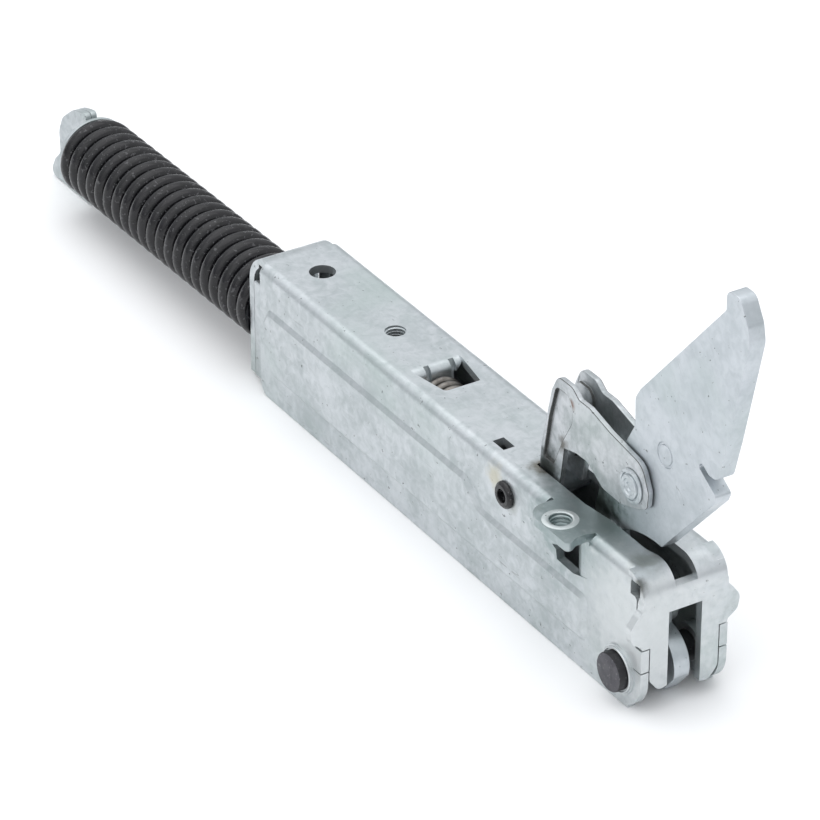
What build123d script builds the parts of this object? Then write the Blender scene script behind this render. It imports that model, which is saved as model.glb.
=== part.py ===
from build123d import *
import math
import os

# Oven door hinge: a folded sheet housing with a hooked lever on a pin at its
# front end, a pair of tie straps from the lever to a compression spring behind
# the housing, and a safety catch riveted to the lever.
# Millimetres. The origin is the centre of the threaded hole on the outer face
# of the web. +X runs to the front, where the lever is, +Z points out of the
# web, and -Y is the side with the threaded ear.

# Folded housing
SHEET = 2.0
WIDTH = 22.0
HEIGHT = 34.0
SIDE_BEND = 2.6
REAR_BEND = 8.2
NOSE_BEND = 6.0
REAR_FACE = -50.9
FRONT_FACE = 116.1
WALL_SETBACK = 8.5
REAR_FLAP_WIDTH = 17.6
REAR_PLATE_LIFT = 1.2
WALL_CORNER = 3.0
FOLD_GAP = 0.25

# Holes and windows of the web
WEB_HOLE_DIA = 6.3
WEB_HOLE_X = -32.2
THREAD_DIA = 5.0
THREAD_COLLAR = 1.2
THREAD_DEPTH = 4.0
WINDOW_FROM = 18.5
WINDOW_TO = 28.6
WINDOW_WIDTH = 9.2
WINDOW_REAR_WIDTH = 12.8
TAB_BEND = 3.4
TAB_DROP = 12.0
TAB_WIDTH = 8.4
DARTS_Y = (-3.8, 2.7)
DART_WIDTH = 1.3
SQUARE_BACK = 64.2
SQUARE_LENGTH = 4.5
SQUARE_WIDTH = 2.9
SQUARE_Y = -5.65
SLOT_BACK = 51.1
SLOT_STEP_BACK = 32.1
SLOT_END_DROP = 3.95
SLOT_SIDE = 1.2
SLOT_NOSE_SIDE = 0.4

# Threaded ear over the near side wall
EAR_BACK = 29.7
EAR_OUT = 1.1
EAR_BEHIND = 7.4
EAR_AHEAD = 9.2
EAR_REACH = 5.4

# Front plate
LOBE_HALF = 14.0
LOBE_DROP = 12.0
LOBE_RADIUS = 3.6
FRONT_WINDOW_SIDE = 2.2
FRONT_WINDOW_DROP = 9.6
NEAR_LEG_LIFT = 5.5
FAR_LEG_LIFT = 3.6
WALL_TAB_LOW = 11.0
WALL_TAB_HIGH = 16.6
NOSE_HOLE = 4.6

# Raised bead of the side walls
BEAD_RISE = 0.8
BEAD_SLOPE = 56.0
BEAD_SETBACK = 3.0
BEAD_STEP_BACK = 68.7
BEAD_FRONT_BACK = 21.5
BEAD_LOW = 8.4
BEAD_HIGH = 23.2
BEAD_NECK = 18.0

# Main pin and lever
PIN_RADIUS = 3.5
PIN_HEAD_RADIUS = 5.3
PIN_HEAD = 2.3
PIN_RIVET_RADIUS = 4.7
PIN_RIVET = 1.6
PIN_LIFT = 8.0
HUB_RADIUS = 7.5
RUNNING = 0.05
LEVER = 4.0
LINK_RADIUS = 2.2
LINK_ARM = 11.0
LINK_ANGLE = 23.0
LINK_EYE = 4.4
OPENING = 46.0

# Tie straps and springs
ROD_LIFT = 16.1
ROD_TILT = 1.0
STRAP = 1.55
STRAP_GAP = 0.1
STRAP_HEIGHT = 11.0
STRAP_SIDE = 0.3
STRAP_STEP = 0.6
TAIL_LENGTH = 17.0
OUTER_WIRE = 3.9
OUTER_ROOM = 0.72
OUTER_TURN_GAP = 0.5
OUTER_TURNS = 20
CUP = 1.2
CUP_INSET = 0.6
INNER_WIRE = 1.9
INNER_PITCH = 2.29
STOP = 1.5
STOP_BACK = 15.0
RIVET_RADIUS = 1.5
SEAT = 0.3

# Cross pin and roller
CROSS_BACK = 52.6
CROSS_DROP = 6.3
CROSS_RADIUS = 2.4
CROSS_BORE = 1.6
CROSS_FLARE = 3.2
CROSS_PROUD = 1.3
ROLLER_RADIUS = 3.7

# Safety catch
CATCH_SHEET = 1.4
CATCH_GAP = 0.3
CATCH_RIVET_X = -7.7
CATCH_RIVET_Z = 39.0
CATCH_RIVET_RADIUS = 2.0
CATCH_HEAD_RADIUS = 4.0
CATCH_HEAD = 0.9
CATCH_PRESS = 0.7

# Worked out from the values above
BOTTOM = -HEIGHT
HALF = WIDTH / 2
INNER_HALF = HALF - SHEET
WALL_REAR = REAR_FACE + WALL_SETBACK
SQUARE_FROM = FRONT_FACE - SQUARE_BACK
SLOT_REAR = FRONT_FACE - SLOT_BACK
SLOT_STEP = FRONT_FACE - SLOT_STEP_BACK
SLOT_WIDTH = LEVER + 2 * SLOT_SIDE
EAR_X = FRONT_FACE - EAR_BACK
EAR_Y = -HALF - EAR_OUT
FRONT_WINDOW_WIDTH = LEVER + 2 * FRONT_WINDOW_SIDE
BEAD_REAR = WALL_REAR + BEAD_SETBACK
BEAD_STEP = FRONT_FACE - BEAD_STEP_BACK
BEAD_FRONT = FRONT_FACE - BEAD_FRONT_BACK
PIVOT_X = FRONT_FACE - PIN_LIFT
PIVOT_Z = BOTTOM + PIN_LIFT
ROD_Z = BOTTOM + ROD_LIFT
CROSS_X = FRONT_FACE - CROSS_BACK
CROSS_Z = -CROSS_DROP
LINK_X = PIVOT_X - LINK_ARM * math.sin(math.radians(LINK_ANGLE))
LINK_Z = PIVOT_Z + LINK_ARM * math.cos(math.radians(LINK_ANGLE))
STRAP_SPREAD = LEVER / 2 + STRAP_SIDE
STRAP_OUTER = STRAP_SPREAD + STRAP
STRAP_CORNER = math.hypot(STRAP + STRAP_GAP / 2, STRAP_HEIGHT / 2)
STRAP_TOP = CROSS_Z - ROLLER_RADIUS - SEAT
CATCH_INNER = LEVER / 2 + CATCH_GAP
CATCH_OUTER = CATCH_INNER + CATCH_SHEET
SLOT_WIDE = 2 * CATCH_OUTER + 1.0
OUTER_FRONT = REAR_FACE - SEAT - 0.2
OUTER_DIA = 2 * (STRAP_CORNER + OUTER_ROOM + OUTER_WIRE)
OUTER_PITCH = OUTER_WIRE + OUTER_TURN_GAP
OUTER_LENGTH = OUTER_PITCH * OUTER_TURNS + OUTER_WIRE
OUTER_REAR = OUTER_FRONT - OUTER_LENGTH
STRAP_TAIL = OUTER_REAR - TAIL_LENGTH
STOP_REAR = CROSS_X - STOP_BACK
STRAP_LOW = ROD_Z - STRAP_HEIGHT / 2
STRAP_HIGH = ROD_Z + STRAP_HEIGHT / 2 - STRAP_STEP
INNER_DIA = -SHEET - STRAP_HIGH - 2 * SEAT
INNER_Z = -SHEET - SEAT - INNER_DIA / 2
INNER_REAR = WINDOW_FROM + SEAT
INNER_LENGTH = STOP_REAR - SEAT - INNER_REAR
INNER_TURNS = int((INNER_LENGTH - INNER_WIRE) / INNER_PITCH + 0.01)
SHOULDER = STOP_REAR + STOP + SEAT
CUP_REAR = OUTER_REAR - SEAT - CUP


def block(x0, x1, y0, y1, z0, z1):
    """Box between two corners."""
    middle = Pos((x0 + x1) / 2, (y0 + y1) / 2, (z0 + z1) / 2)
    return middle * Box(x1 - x0, y1 - y0, z1 - z0)


def side_plate(face, y0, y1):
    """A face drawn in X and Z, given thickness from y0 to y1."""
    return Pos(0, y1, 0) * extrude(Plane.XZ * face, amount=y1 - y0)


def front_plate_of(face, x0, x1):
    """A face drawn in Y and Z, given thickness from x0 to x1."""
    return Pos(x0, 0, 0) * extrude(Plane.YZ * face, amount=x1 - x0)


def top_plate(face, z0, z1):
    """A face drawn in X and Y, given thickness from z0 to z1."""
    return Pos(0, 0, z0) * extrude(face, amount=z1 - z0)


def across(x, z, radius, y0, y1):
    """Round bar along Y."""
    return Pos(x, y1, z) * extrude(Plane.XZ * Circle(radius), amount=y1 - y0)


def upright(x, y, radius, z0, z1):
    """Round bar along Z."""
    return Pos(x, y, z0) * extrude(Circle(radius), amount=z1 - z0)


def on_rod(x, rise):
    """Point at a place along the rod and a height over it, in X and Z. The rod drops towards the rear."""
    tilt, run = math.radians(ROD_TILT), x - REAR_FACE
    return (REAR_FACE + run * math.cos(tilt) - rise * math.sin(tilt),
            ROD_Z + run * math.sin(tilt) + rise * math.cos(tilt))


def tilted(piece):
    """A piece drawn about the level rod, turned down with it."""
    return Pos(REAR_FACE, 0, ROD_Z) * Rot(0, -ROD_TILT, 0) * Pos(-REAR_FACE, 0, -ROD_Z) * piece


def rounded(points, radii):
    """Closed face with a radius at each corner, cut back where its two edges are too short for it."""
    corners = [Vector(x, y) for x, y in points]
    starts, middles, ends = [], [], []
    for i, corner in enumerate(corners):
        back, ahead = corners[i - 1] - corner, corners[(i + 1) % len(corners)] - corner
        half = math.radians(back.get_angle(ahead)) / 2
        if not radii[i] or half > 1.56:
            starts.append(corner)
            middles.append(corner)
            ends.append(corner)
            continue
        run = min(radii[i] / math.tan(half), 0.49 * min(back.length, ahead.length))
        radius = run * math.tan(half)
        bisector = (back.normalized() + ahead.normalized()).normalized()
        starts.append(corner + back.normalized() * run)
        middles.append(corner + bisector * (radius / math.sin(half) - radius))
        ends.append(corner + ahead.normalized() * run)
    edges = []
    for i in range(len(corners)):
        edges.append(Line(ends[i - 1], starts[i]))
        if (ends[i] - starts[i]).length > 0.001:
            edges.append(ThreePointArc(starts[i], middles[i], ends[i]))
    return make_face(edges)


def side_outline():
    """Outer outline of the folded strip in X and Z."""
    return rounded(
        [(REAR_FACE, BOTTOM), (REAR_FACE, 0), (FRONT_FACE, 0), (FRONT_FACE, BOTTOM)],
        [0, REAR_BEND, NOSE_BEND, 0])


def folded_strip():
    """The web with its end plate and front plate, bent from one strip, over the full width."""
    rear, front, top = REAR_FACE + SHEET, FRONT_FACE - SHEET, -SHEET
    inner = rounded(
        [(rear, BOTTOM - 1), (rear, top), (front, top), (front, BOTTOM - 1)],
        [0, REAR_BEND - SHEET, NOSE_BEND - SHEET, 0])
    return side_plate(side_outline() - inner, -LOBE_HALF - 1, LOBE_HALF + 1)


def front_outline():
    """Outline of the front plate seen from the front, with its two side lobes and two legs."""
    wall_tab = INNER_HALF - FOLD_GAP
    half = HALF - 0.1
    lobe = LOBE_HALF - LOBE_RADIUS
    sides = []
    for leg in (FAR_LEG_LIFT, NEAR_LEG_LIFT):
        sides.append([
            (half - 0.3, 2), (half - 0.3, -5.4), (half, -6.2), (half, -7.6),
            (lobe + 1.6, -8.6), (LOBE_HALF, -LOBE_DROP + 0.6), (LOBE_HALF - 0.6, -LOBE_DROP - 2.6),
            (half, -LOBE_DROP - 4.4), (half, BOTTOM + WALL_TAB_HIGH + FOLD_GAP),
            (wall_tab, BOTTOM + WALL_TAB_HIGH + FOLD_GAP), (wall_tab, BOTTOM + leg + 3.0),
            (wall_tab - 2.4, BOTTOM + leg), (FRONT_WINDOW_WIDTH / 2, BOTTOM + leg + 0.5),
        ])
    radii = [0, 0, 0.8, 1.0, 1.4, 2.4, 2.0, 1.0, 0.4, 0, 2.6, 2.2, 1.2]
    right, left = sides[0], [(-y, z) for y, z in reversed(sides[1])]
    return rounded(right + left, radii + radii[::-1])


def bead_face(grow):
    """Outline of the raised bead in X and Z."""
    low, high, neck = BOTTOM + BEAD_LOW - grow, BOTTOM + BEAD_HIGH + grow, BOTTOM + BEAD_NECK + grow
    rear, front = BEAD_REAR - grow, BEAD_FRONT + grow
    points = [(rear + 3.6, low), (front, low), (front, neck), (BEAD_STEP + 6.2, neck),
              (BEAD_STEP, high), (rear + 2.4, high), (rear, high - 4.0), (rear, low + 4.2)]
    return rounded(points, [3.0, 2.5, 2.5, 3.0, 3.0, 2.0, 3.0, 3.0])


def raised_bead(side):
    """The bead's outward step and the hollow behind it, on the wall at side -1 or +1."""
    bodies = []
    for grow, face_y in ((1.2, HALF - 0.02), (0.1, INNER_HALF)):
        pressed = Pos(0, -face_y, 0) * extrude(Plane.XZ * bead_face(grow), amount=BEAD_RISE, taper=BEAD_SLOPE)
        bodies.append(mirror(pressed, about=Plane.XZ) if side > 0 else pressed)
    return bodies


def channel():
    """The web and its two side walls, open at the bottom."""
    outer = rounded([(-HALF, BOTTOM), (-HALF, 0), (HALF, 0), (HALF, BOTTOM)], [0, SIDE_BEND, SIDE_BEND, 0])
    inner = rounded([(-INNER_HALF, BOTTOM - 1), (-INNER_HALF, -SHEET), (INNER_HALF, -SHEET),
                     (INNER_HALF, BOTTOM - 1)],
                    [0, SIDE_BEND - SHEET, SIDE_BEND - SHEET, 0])
    nose_start = FRONT_FACE - NOSE_HOLE
    body = front_plate_of(outer - inner, WALL_REAR, nose_start) & side_plate(side_outline(), -HALF, HALF)
    wall_front = FRONT_FACE - SHEET - FOLD_GAP
    wall = rounded(
        [(WALL_REAR, BOTTOM), (WALL_REAR, -5.0), (nose_start, -5.0), (wall_front, -4.9),
         (wall_front, BOTTOM + WALL_TAB_HIGH), (FRONT_FACE, BOTTOM + WALL_TAB_HIGH),
         (FRONT_FACE, BOTTOM)],
        [WALL_CORNER, 0, 0, 1.2, 0, 0, PIN_LIFT - 0.01])
    slit = BOTTOM + WALL_TAB_LOW
    wall -= Pos(FRONT_FACE, slit) * Rectangle(5.6, 0.3)
    for y0 in (-HALF, INNER_HALF):
        body += side_plate(wall, y0, y0 + SHEET)
        corner = block(WALL_REAR - 1, WALL_REAR + WALL_CORNER, y0, y0 + SHEET, BOTTOM - 1, BOTTOM + WALL_CORNER)
        quarter = across(WALL_REAR + WALL_CORNER, BOTTOM + WALL_CORNER, WALL_CORNER, y0, y0 + SHEET)
        body -= corner - quarter
    return body


def web_window():
    """Window of the web in X and Y, widened towards the bend of its tab."""
    start, front, rear = WINDOW_FROM - TAB_BEND, WINDOW_WIDTH / 2, WINDOW_REAR_WIDTH / 2
    face = rounded([(start, -rear), (WINDOW_FROM - 0.3, -rear), (WINDOW_TO, -front), (WINDOW_TO, front),
                    (WINDOW_FROM - 0.3, rear), (start, rear)], [0, 0.6, 1.2, 0.5, 0.6, 0])
    return top_plate(face, -SHEET - 1, 1)


def web_tab():
    """Tab bent down at the rear edge of the web window, with two darts pressed in its bend."""
    start = WINDOW_FROM - TAB_BEND
    outer = rounded([(start - 1, -TAB_DROP), (start - 1, 0), (WINDOW_FROM, 0), (WINDOW_FROM, -TAB_DROP)],
                    [0, 0, TAB_BEND, 0])
    inner = rounded([(start - 2, -TAB_DROP - 1), (start - 2, -SHEET), (WINDOW_FROM - SHEET, -SHEET),
                     (WINDOW_FROM - SHEET, -TAB_DROP - 1)], [0, 0, TAB_BEND - SHEET, 0])
    top, half = WINDOW_REAR_WIDTH / 2, TAB_WIDTH / 2
    front = rounded([(-top, 1), (-top, -0.8), (-half, -3.2), (-half, -TAB_DROP), (half, -TAB_DROP),
                     (half, -3.2), (top, -0.8), (top, 1)], [0, 0.5, 1.5, 1.0, 1.0, 1.5, 0.5, 0])
    tab = side_plate(outer - inner, -top, top) & front_plate_of(front, start - 1, WINDOW_FROM + 1)
    dart = side_plate(Polygon((start + 1.7, 0.05), (WINDOW_FROM + 1, 1), (WINDOW_FROM + 0.05, -TAB_BEND - 1.6),
                              align=None), -DART_WIDTH / 2, DART_WIDTH / 2)
    for y in DARTS_Y:
        tab -= Pos(0, y, 0) * dart
    return tab


def ear():
    """Flat threaded ear that stands out over the near side wall."""
    rear, front, edge = EAR_X - EAR_BEHIND, EAR_X + EAR_AHEAD, -HALF - EAR_REACH
    root = -INNER_HALF + 2
    face = rounded([(rear, root), (rear, edge), (front + 0.5, edge), (front - 1.3, -HALF - 2.4),
                    (front - 1.4, -HALF + 0.2), (front - 0.2, root)], [0, 5.6, 2.6, 2.0, 2.0, 0])
    return top_plate(face, -SHEET, 0)


def ear_cut():
    """Opening of the near wall and its bend around the ear."""
    rear = -EAR_BEHIND - 1.0
    face = Polygon((rear, -2.0), (rear, -7.4), (-3.1, -9.6), (-2.7, -11.8), (3.5, -12.0), (EAR_AHEAD, -10.4),
                   (EAR_AHEAD, -2.0), align=None)
    cut = side_plate(Pos(EAR_X, 0) * face, -HALF - 1, -INNER_HALF + 0.6)
    cut += block(EAR_X + rear, EAR_X + EAR_AHEAD, -HALF - 1, -HALF + SIDE_BEND - 0.4, -SHEET - 1.2, 1)
    return cut


def ear_lip():
    """Wall dished inwards at the front edge of the opening below the ear."""
    face = rounded([(EAR_AHEAD + 0.2, -HALF), (EAR_AHEAD - 3.0, -HALF + 0.2), (EAR_AHEAD - 5.9, -HALF + 1.6),
                    (EAR_AHEAD - 5.9, -HALF + 3.4), (EAR_AHEAD + 0.2, -INNER_HALF)], [0, 4.0, 0.5, 0.5, 0])
    return top_plate(Pos(EAR_X, 0) * face, -12.0, -SHEET / 2)


def web_slot():
    """Slot for lever and catch, wide at the rear and run down over the nose."""
    narrow, wide = SLOT_WIDTH / 2, SLOT_WIDE / 2
    end = FRONT_FACE + 1
    near = LEVER / 2 + SLOT_NOSE_SIDE
    face = rounded([(SLOT_REAR, -wide), (SLOT_STEP, -wide), (SLOT_STEP + 8, -narrow), (FRONT_FACE - 10.6, -narrow),
                    (FRONT_FACE - 7.2, -near), (end, -near), (end, narrow), (SLOT_STEP + 8, narrow),
                    (SLOT_STEP, wide), (SLOT_REAR, wide)],
                   [0.4, 6.0, 6.0, 3.0, 3.0, 0, 0, 6.0, 6.0, 0.4])
    return top_plate(face, -SLOT_END_DROP, 1)


def housing():
    """Folded sheet housing."""
    strip = folded_strip()
    flap = REAR_FLAP_WIDTH / 2
    body = channel()
    body += strip & block(REAR_FACE - 1, WALL_REAR + 2, -flap, flap, BOTTOM + REAR_PLATE_LIFT, 1)
    nose = front_plate_of(front_outline(), FRONT_FACE - NOSE_BEND - 0.01, FRONT_FACE + 1)
    body += strip & nose

    # Reliefs where the side bends end at the rear flap and at the nose
    for side in (-1, 1):
        y0, y1 = sorted((side * (HALF - SIDE_BEND - 0.6), side * (HALF + 1)))
        body -= block(WALL_REAR - 4, WALL_REAR + 0.2, y0, y1, -SHEET - 3.6, -SHEET - 0.2)
        y0, y1 = sorted((side * (INNER_HALF - 0.3), side * (HALF + 1)))
        body -= block(FRONT_FACE - NOSE_HOLE, FRONT_FACE - SHEET + 0.4, y0, y1, -5.0, -1.9)

    # Beads, pressed outwards
    for side in (-1, 1):
        pad, hollow = raised_bead(side)
        body += pad
        body -= hollow

    # Ear and the opening round it
    body -= ear_cut()
    body += ear()
    body += ear_lip()

    # Window with its bent tab
    body -= web_window()
    body += web_tab()

    # Holes of the web and slot
    body += upright(0, 0, THREAD_DIA / 2 + THREAD_COLLAR, -THREAD_DEPTH, -SHEET / 2)
    body += upright(EAR_X, EAR_Y, THREAD_DIA / 2 + THREAD_COLLAR, -THREAD_DEPTH, -SHEET / 2)
    body -= upright(0, 0, THREAD_DIA / 2, -THREAD_DEPTH - 1, 1)
    body -= upright(EAR_X, EAR_Y, THREAD_DIA / 2, -THREAD_DEPTH - 1, 1)
    body -= upright(WEB_HOLE_X, 0, WEB_HOLE_DIA / 2, -SHEET - 1, 1)
    body -= block(SQUARE_FROM, SQUARE_FROM + SQUARE_LENGTH, SQUARE_Y - SQUARE_WIDTH / 2,
                  SQUARE_Y + SQUARE_WIDTH / 2, -SHEET - 1, 1)
    body -= web_slot()

    # Front window, open at the bottom, and the opening of the rear plate
    half = FRONT_WINDOW_WIDTH / 2
    body -= block(FRONT_FACE - SHEET - 1, FRONT_FACE + 1, -half, half, BOTTOM - 1, -FRONT_WINDOW_DROP)
    strap_half = STRAP + STRAP_GAP / 2 + 0.5
    body -= block(REAR_FACE - 1, REAR_FACE + SHEET + 1, -strap_half, strap_half,
                  ROD_Z - STRAP_HEIGHT / 2 - 0.7, ROD_Z + STRAP_HEIGHT / 2 + 0.5)

    # Seats of the main pin, raised outside and drawn inwards as a collar
    for y0, y1 in ((-HALF - 0.5, -INNER_HALF + 2.4), (INNER_HALF - 2.4, HALF + 0.5)):
        body += across(PIVOT_X, PIVOT_Z, PIN_HEAD_RADIUS + 0.4, y0, y1) - across(
            PIVOT_X, PIVOT_Z, PIN_HEAD_RADIUS + 1.2, -INNER_HALF, INNER_HALF)
        body += across(PIVOT_X, PIVOT_Z, PIN_RADIUS + 1.5, y0, y1)
    body -= across(PIVOT_X, PIVOT_Z, PIN_RADIUS + 0.02, -WIDTH, WIDTH)
    body -= across(CROSS_X, CROSS_Z, CROSS_RADIUS + 0.02, -WIDTH, WIDTH)
    return body


def main_pin():
    """Shouldered pin of the lever, headed on the near side and riveted on the far side."""
    seat = HALF + 0.5
    pin = across(PIVOT_X, PIVOT_Z, PIN_RADIUS, -seat, seat)
    head = across(PIVOT_X, PIVOT_Z, PIN_HEAD_RADIUS, -seat - PIN_HEAD, -seat)
    head = chamfer(head.edges().group_by(Axis.Y)[0], 0.35)
    tail = across(PIVOT_X, PIVOT_Z, PIN_RIVET_RADIUS, seat, seat + PIN_RIVET)
    tail = chamfer(tail.edges().group_by(Axis.Y)[-1], 0.8)
    return pin + head + tail


def cross_pin():
    """Tubular rivet across the housing, flared over both side walls."""
    reach = HALF + CROSS_PROUD
    pin = across(CROSS_X, CROSS_Z, CROSS_RADIUS, -reach, reach)
    for side in (-1, 1):
        y0, y1 = sorted((side * HALF, side * reach))
        flare = across(CROSS_X, CROSS_Z, CROSS_FLARE, y0, y1)
        outside = flare.edges().group_by(Axis.Y)[0 if side < 0 else -1]
        pin += chamfer(outside, CROSS_PROUD * 0.5)
    return pin - across(CROSS_X, CROSS_Z, CROSS_BORE, -WIDTH, WIDTH)


def guide_roller():
    """Roller on the cross pin, above the tie straps."""
    reach = INNER_HALF - SEAT
    tube = across(CROSS_X, CROSS_Z, ROLLER_RADIUS, -reach, reach)
    return tube - across(CROSS_X, CROSS_Z, CROSS_RADIUS + RUNNING, -WIDTH, WIDTH)


def bridge_groove():
    """Curved groove that lets the lever swing round the bar of the front plate."""
    low = math.hypot(PIN_LIFT - SHEET, HEIGHT - FRONT_WINDOW_DROP - PIN_LIFT) - 0.7
    high = HEIGHT - PIN_LIFT + 2.1
    start, end = math.radians(40.0), math.radians(90.0 + OPENING - 8.5)
    wedge = Polygon((0, 0), (60 * math.cos(start), 60 * math.sin(start)), (0, 75),
                    (60 * math.cos(end), 60 * math.sin(end)), align=None)
    groove = (Circle(high) - Circle(low)) & wedge
    return fillet(groove.vertices().sort_by(Axis.X)[:2], 2.5)


def lever_face():
    """Outline of the lever in X and Z, measured from the main pin."""
    hub = Circle(HUB_RADIUS)
    neck = rounded(
        [(-HUB_RADIUS + 0.4, -2.0), (-15.5, 3.0), (-22.5, 12.0), (-24.0, 24.0), (-21.5, 33.0), (-13.5, 45.0),
         (-12.3, 47.6), (-9.6, 52.4), (-9.8, 59.0), (-8.0, 61.9), (20.8, 94.6), (20.8, 99.4),
         (25.4, 99.4), (28.4, 94.2), (29.2, 90.2), (22.9, 63.8), (20.2, 54.0), (17.0, 54.0), (14.4, 55.6),
         (13.2, 54.2), (19.9, 50.0), (19.0, 47.9), (0.6, 27.3), (0.5, 4.0)],
        [3, 6, 6, 8, 8, 2, 1.5, 3, 3, 2.5, 0.8, 1.8,
         2.5, 3, 5, 3, 2.4, 1.2, 0.7, 0.7, 1.0, 1.0, 1.0, 0])
    link = Pos(LINK_X - PIVOT_X, LINK_Z - PIVOT_Z) * Circle(LINK_EYE + 0.2)
    flat = Polygon((HUB_RADIUS, -1.6), (HUB_RADIUS - 4.0, -6.6), (HUB_RADIUS, -HUB_RADIUS - 1), align=None)
    return hub - flat + neck + link - bridge_groove()


def lever_arm():
    """Hooked lever, cut from thick plate."""
    face = Pos(PIVOT_X, PIVOT_Z) * lever_face()
    arm = side_plate(face, -LEVER / 2, LEVER / 2)
    arm -= across(PIVOT_X, PIVOT_Z, PIN_RADIUS + RUNNING, -LEVER, LEVER)
    arm -= across(LINK_X, LINK_Z, LINK_RADIUS + 0.02, -LEVER, LEVER)
    rivet_x, rivet_z = PIVOT_X + CATCH_RIVET_X, PIVOT_Z + CATCH_RIVET_Z
    arm -= across(rivet_x, rivet_z, CATCH_RIVET_RADIUS + 0.02, -LEVER, LEVER)
    stamp = across(PIVOT_X + 1.5, PIVOT_Z + 50.7, 2.9, -LEVER, -LEVER / 2 + 0.35)
    stamp -= across(PIVOT_X + 1.5, PIVOT_Z + 50.7, 2.3, -LEVER, LEVER)
    return arm - stamp


def link_pin():
    """Pin that joins the lever to the eyes of both straps."""
    return across(LINK_X, LINK_Z, LINK_RADIUS, -STRAP_OUTER, STRAP_OUTER)


def strap_face():
    """Side outline of a tie strap, from its fishtail to its front eye."""
    half = STRAP_HEIGHT / 2
    rear, gate = CUP_REAR - 0.1, REAR_FACE + 5.0
    eye_x, eye_z = LINK_X, LINK_Z
    points = [
        (STRAP_TAIL - 2.6, BOTTOM + 5.3), (STRAP_TAIL - 5.5, BOTTOM + 0.1), on_rod(rear, -14.2), on_rod(rear, -half),
        on_rod(gate, -half), (gate + 12.0, STRAP_LOW), (SHOULDER, STRAP_LOW), (SHOULDER, STRAP_LOW - 3.0),
        (SHOULDER + 9.0, STRAP_LOW - 3.0), (SHOULDER + 22.0, eye_z - LINK_EYE), (eye_x, eye_z - LINK_EYE),
        (eye_x, eye_z + LINK_EYE), (eye_x - 18.0, STRAP_TOP), (SHOULDER, STRAP_TOP), (SHOULDER, STRAP_HIGH),
        (gate + 12.0, STRAP_HIGH), on_rod(gate, half), on_rod(rear, half), on_rod(rear, 11.2),
        (STRAP_TAIL + 12.3, BOTTOM + 25.1), (STRAP_TAIL + 8.3, BOTTOM + 23.9), (STRAP_TAIL + 2.3, BOTTOM + 19.2),
        (STRAP_TAIL + 0.2, BOTTOM + 14.6), (STRAP_TAIL + 0.5, BOTTOM + 8.4),
    ]
    radii = [3.0, 2.4, 1.0, 0, 0, 0, 0, 1.0, 2.0, 3.0, 0, 0, 4.0, 1.0, 0, 0, 0, 0, 1.0, 4.0, 8.0, 6.0, 4.0, 0.6]
    face = rounded(points, radii) + Pos(eye_x, eye_z) * Circle(LINK_EYE)
    slack = LINK_ARM * (1 - math.cos(math.radians(LINK_ANGLE)))
    slot = Pos(eye_x, eye_z + slack / 2) * Rectangle(2 * LINK_RADIUS + 0.6, slack + 0.6)
    for z in (eye_z - 0.3, eye_z + slack + 0.3):
        slot += Pos(eye_x, z) * Circle(LINK_RADIUS + 0.3)
    return face - slot


def strap_plan(side):
    """Top view of a strap: flat against its twin at the rear, spread round the lever at the front."""
    rear = STRAP_GAP / 2
    spread_from, spread_to = SHOULDER + 10.0, SHOULDER + 20.0
    inner = [(STRAP_TAIL - 7, rear), (spread_from, rear), (spread_to, STRAP_SPREAD), (FRONT_FACE + 5, STRAP_SPREAD)]
    outer = [(x, y + STRAP) for x, y in reversed(inner)]
    points = [(x, side * y) for x, y in inner + outer]
    face = rounded(points, [0, 6.0, 5.0, 0, 0, 6.0, 5.0, 0])
    return top_plate(face, BOTTOM, 0)


def rivet_places():
    """Both rivets of the straps, in X and Z."""
    return on_rod(CUP_REAR - 5.5, 0), (SHOULDER + 5.0, ROD_Z)


def tie_strap(side):
    """One of the two tie straps."""
    strap = strap_plan(side) & side_plate(strap_face(), -2 * STRAP_OUTER, 2 * STRAP_OUTER)
    for x, z in rivet_places():
        strap -= across(x, z, RIVET_RADIUS + 0.02, -WIDTH, WIDTH)
    return strap


def strap_rivets():
    """Two flush rivets that hold the straps together."""
    reach = STRAP + STRAP_GAP / 2
    return [across(x, z, RIVET_RADIUS, -reach, reach) for x, z in rivet_places()]


def spring_cup():
    """Round washer behind the outer spring, with a slot for both straps."""
    washer = front_plate_of(Pos(0, ROD_Z) * Circle(OUTER_DIA / 2 - CUP_INSET), CUP_REAR, CUP_REAR + CUP)
    half, high = STRAP + STRAP_GAP / 2 + 0.05, STRAP_HEIGHT / 2 + 0.05
    return tilted(washer - block(CUP_REAR - 1, CUP_REAR + CUP + 1, -half, half, ROD_Z - high, ROD_Z + high))


def spring_stop():
    """Upright plate that takes the inner spring, hung on both straps against their shoulder."""
    half = INNER_DIA / 2 + 0.4
    face = rounded([(-half, STRAP_LOW - 1.6), (half, STRAP_LOW - 1.6), (half, -SHEET - 0.7), (-half, -SHEET - 0.7)],
                   [1, 1, 3, 3])
    strap_half = STRAP + STRAP_GAP / 2 + 0.05
    return front_plate_of(face, STOP_REAR, STOP_REAR + STOP) - block(
        STOP_REAR - 1, STOP_REAR + STOP + 1, -strap_half, strap_half, STRAP_LOW - 0.05, STRAP_HIGH + 0.05)


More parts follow.
